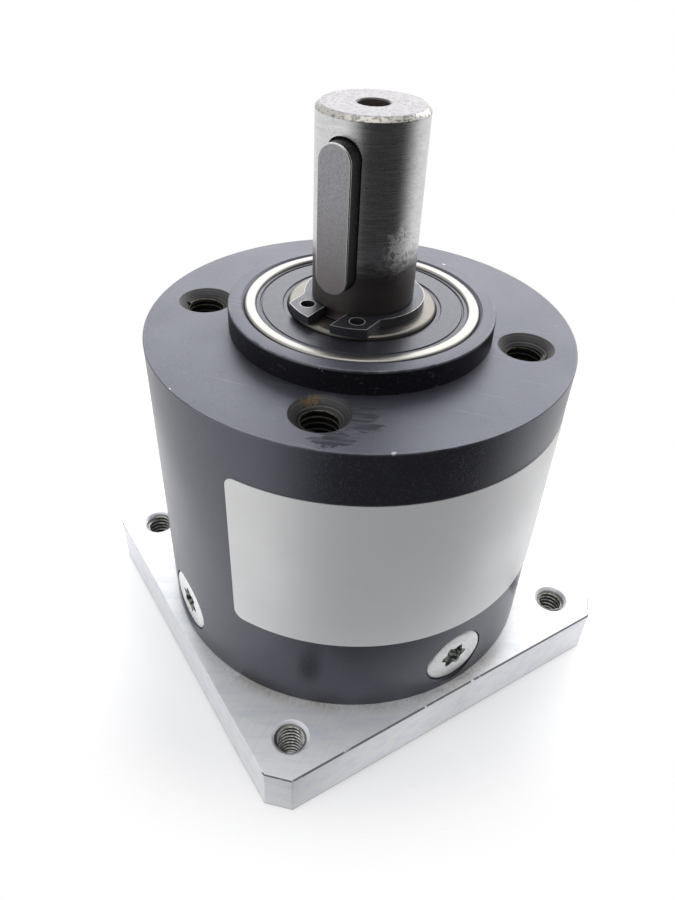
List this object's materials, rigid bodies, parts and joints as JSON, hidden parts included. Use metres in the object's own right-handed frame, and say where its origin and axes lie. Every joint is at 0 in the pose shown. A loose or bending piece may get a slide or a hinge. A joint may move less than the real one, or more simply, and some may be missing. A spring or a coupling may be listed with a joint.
{
  "type": "inline gear reducer",
  "caption": "Inline planetary gear reducer with a round blackened housing, square motor plate, centring pilot, sealed output bearing and a keyed shaft.",
  "frame": {"origin": "centre of the motor plate's outer face, on the shaft's axis", "axes": "+Z along the shaft towards the output side, X and Y square to the motor plate's sides"},
  "size_m": [0.055, 0.055, 0.0735],
  "materials": {
    "blackened_steel": "black oxide, satin",
    "milled_aluminium": "milled, satin",
    "zinc_screw": "bright zinc plated",
    "gear_steel": "ground, oiled",
    "label_foil": "silver polyester foil, satin",
    "bearing_steel": "ground, bright",
    "seal_rubber": "matte, moulded",
    "shaft_steel": "turned and ground",
    "key_steel": "drawn, satin",
    "spring_steel": "phosphated, worn on the edges",
    "clamp_steel": "turned",
    "washer_bronze": "satin"
  },
  "bodies": {
    "root": {"housing": "blackened_steel", "motor_adapter": "milled_aluminium", "radial_screws": "zinc_screw", "ring_gear": "gear_steel", "label": "label_foil", "front_bearing_outer_ring": "bearing_steel", "front_bearing_seals": "seal_rubber", "rear_bearing_outer_ring": "bearing_steel", "rear_bearing_seals": "seal_rubber", "input_bearing_outer_ring": "bearing_steel", "input_bearing_seals": "seal_rubber"},
    "output": {"output_shaft": "shaft_steel", "planet_carrier": "gear_steel", "planet_pins": "bearing_steel", "planet_washers": "washer_bronze", "shaft_key": "key_steel", "shaft_circlip": "spring_steel", "bearing_spacer": "bearing_steel", "front_bearing_inner_ring": "bearing_steel", "rear_bearing_inner_ring": "bearing_steel"},
    "planet_1": {"planet_gear_1": "gear_steel"},
    "planet_2": {"planet_gear_2": "gear_steel"},
    "planet_3": {"planet_gear_3": "gear_steel"},
    "needles_1": {"planet_needles_1": "bearing_steel"},
    "needles_2": {"planet_needles_2": "bearing_steel"},
    "needles_3": {"planet_needles_3": "bearing_steel"},
    "sun": {"sun_pinion": "gear_steel", "clamp_ring": "clamp_steel", "clamp_screw": "spring_steel", "pinion_circlip": "spring_steel", "input_bearing_inner_ring": "bearing_steel"},
    "front_balls": {"front_bearing_balls": "bearing_steel"},
    "rear_balls": {"rear_bearing_balls": "bearing_steel"},
    "input_balls": {"input_bearing_balls": "bearing_steel"}
  },
  "joints": [
    {"name": "output_spin", "type": "hinge", "parent": "root", "child": "output", "pos_m": [0, 0, 0.06], "axis": [0, 0, 1], "continuous": true},
    {"name": "sun_spin", "type": "hinge", "parent": "root", "child": "sun", "pos_m": [0, 0, 0.01], "axis": [0, 0, 1], "continuous": true},
    {"name": "planet_1_spin", "type": "hinge", "parent": "output", "child": "planet_1", "pos_m": [0.0135, 0, 0.023], "axis": [0, 0, 1], "continuous": true},
    {"name": "planet_2_spin", "type": "hinge", "parent": "output", "child": "planet_2", "pos_m": [-0.00675, 0.01169, 0.023], "axis": [0, 0, 1], "continuous": true},
    {"name": "planet_3_spin", "type": "hinge", "parent": "output", "child": "planet_3", "pos_m": [-0.00675, -0.01169, 0.023], "axis": [0, 0, 1], "continuous": true},
    {"name": "needles_1_spin", "type": "hinge", "parent": "output", "child": "needles_1", "pos_m": [0.0135, 0, 0.023], "axis": [0, 0, 1], "continuous": true},
    {"name": "needles_2_spin", "type": "hinge", "parent": "output", "child": "needles_2", "pos_m": [-0.00675, 0.01169, 0.023], "axis": [0, 0, 1], "continuous": true},
    {"name": "needles_3_spin", "type": "hinge", "parent": "output", "child": "needles_3", "pos_m": [-0.00675, -0.01169, 0.023], "axis": [0, 0, 1], "continuous": true},
    {"name": "front_balls_spin", "type": "hinge", "parent": "root", "child": "front_balls", "pos_m": [0, 0, 0.0475], "axis": [0, 0, 1], "continuous": true},
    {"name": "rear_balls_spin", "type": "hinge", "parent": "root", "child": "rear_balls", "pos_m": [0, 0, 0.0355], "axis": [0, 0, 1], "continuous": true},
    {"name": "input_balls_spin", "type": "hinge", "parent": "root", "child": "input_balls", "pos_m": [0, 0, 0.0135], "axis": [0, 0, 1], "continuous": true}
  ],
  "couplings": [
    {"joint": "sun_spin", "follows": "output_spin", "ratio": 4},
    {"joint": "planet_1_spin", "follows": "output_spin", "ratio": -3},
    {"joint": "planet_2_spin", "follows": "output_spin", "ratio": -3},
    {"joint": "planet_3_spin", "follows": "output_spin", "ratio": -3},
    {"joint": "needles_1_spin", "follows": "output_spin", "ratio": -1.8511},
    {"joint": "needles_2_spin", "follows": "output_spin", "ratio": -1.8511},
    {"joint": "needles_3_spin", "follows": "output_spin", "ratio": -1.8511},
    {"joint": "front_balls_spin", "follows": "output_spin", "ratio": 0.381},
    {"joint": "rear_balls_spin", "follows": "output_spin", "ratio": 0.381},
    {"joint": "input_balls_spin", "follows": "output_spin", "ratio": 1.7558}
  ]
}
